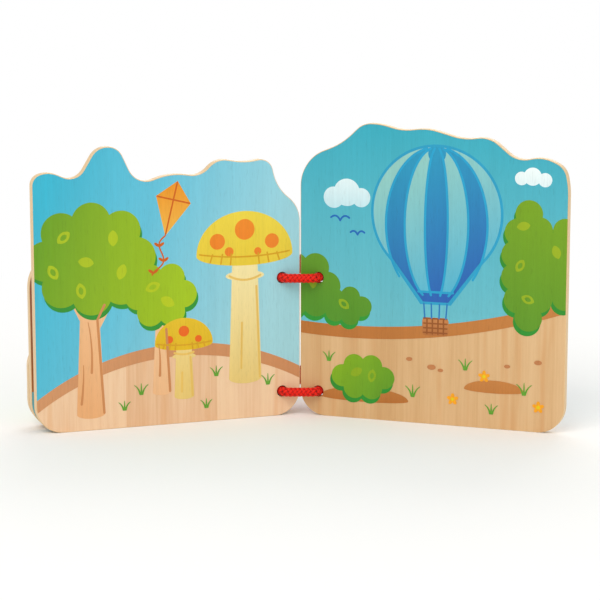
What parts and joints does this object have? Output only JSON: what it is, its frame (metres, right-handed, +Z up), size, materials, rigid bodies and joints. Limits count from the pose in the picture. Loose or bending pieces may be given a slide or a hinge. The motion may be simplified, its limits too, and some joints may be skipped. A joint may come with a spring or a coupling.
{
  "type": "wooden book",
  "caption": "Child's wooden board book: printed boards with wavy top outlines, laced at the spine by red cord loops, standing open.",
  "frame": {"origin": "on the surface the book stands on, under the middle of its outer box", "axes": "+X to the right across both open pages, -Y towards the reader, +Z up"},
  "size_m": [0.2754, 0.075, 0.1546],
  "materials": {
    "board_wood": "pale close-grained board, sanded, clear satin lacquer",
    "sky_ink": "semi-transparent cyan print over the grain, satin",
    "earth_ink": "semi-transparent brown print over the grain, satin",
    "leaf_ink": "green print, satin",
    "leaf_line_ink": "dark green outline print, satin",
    "leaf_mark_ink": "yellow-green print, satin",
    "trunk_ink": "pale tan print, satin",
    "cap_ink": "yellow print, satin",
    "spot_ink": "orange print, satin",
    "balloon_ink": "light blue print, satin",
    "panel_ink": "dark blue print, satin",
    "balloon_line_ink": "blue outline print, satin",
    "cloud_ink": "very pale blue print, satin",
    "red_cord": "round braided polyester cord"
  },
  "bodies": {
    "left_leaf": {"left_leaf": "board_wood", "toadstool_spots": "spot_ink", "toadstool_caps": "cap_ink", "toadstool_stems": "cap_ink", "kite": "spot_ink", "tree_leaf_marks": "leaf_mark_ink", "tree_crowns": "leaf_ink", "tree_crown_rims": "leaf_line_ink", "tree_trunks": "trunk_ink", "left_hill_edge": "earth_ink", "left_sky": "sky_ink", "left_back_hill_edge": "earth_ink", "left_back_sky": "sky_ink", "upper_cord": "red_cord", "lower_cord": "red_cord"},
    "back_cover": {"back_cover": "board_wood", "balloon_basket": "earth_ink", "balloon_panels": "panel_ink", "balloon_envelope": "balloon_ink", "balloon_rim": "balloon_line_ink", "bush_leaf_marks": "leaf_mark_ink", "small_bush": "leaf_ink", "small_bush_rim": "leaf_line_ink", "earth_mounds": "earth_ink", "hedge_and_bushes": "leaf_ink", "hedge_rims": "leaf_line_ink", "right_hill_edge": "earth_ink", "clouds": "cloud_ink", "right_sky": "sky_ink", "back_outside_hill_edge": "earth_ink", "back_outside_sky": "sky_ink"},
    "middle_leaf": {"middle_leaf": "board_wood", "middle_pool": "sky_ink", "middle_earth": "earth_ink", "middle_back_hill_edge": "earth_ink", "middle_back_sky": "sky_ink"},
    "front_cover": {"front_cover": "board_wood", "cover_inside_hill_edge": "earth_ink", "cover_inside_sky": "sky_ink", "cover_hill_edge": "earth_ink", "cover_meadow": "leaf_ink"}
  },
  "joints": [
    {"name": "page_fold", "type": "hinge", "parent": "left_leaf", "child": "back_cover", "pos_m": [0.00287, 0.01194, 0], "axis": [0, 0, 1], "range_deg": [-139, 41], "deforming": ["upper_cord", "lower_cord"]},
    {"name": "leaf_fold", "type": "hinge", "parent": "left_leaf", "child": "middle_leaf", "pos_m": [0.00465, 0.01847, 0], "axis": [0, 0, -1], "range_deg": [-2.3, 67.7], "deforming": ["upper_cord", "lower_cord"]},
    {"name": "cover_fold", "type": "hinge", "parent": "middle_leaf", "child": "front_cover", "pos_m": [0.00293, 0.0237, 0], "axis": [0, 0, -1], "range_deg": [-0.5, 69.5], "deforming": ["upper_cord", "lower_cord"]}
  ]
}
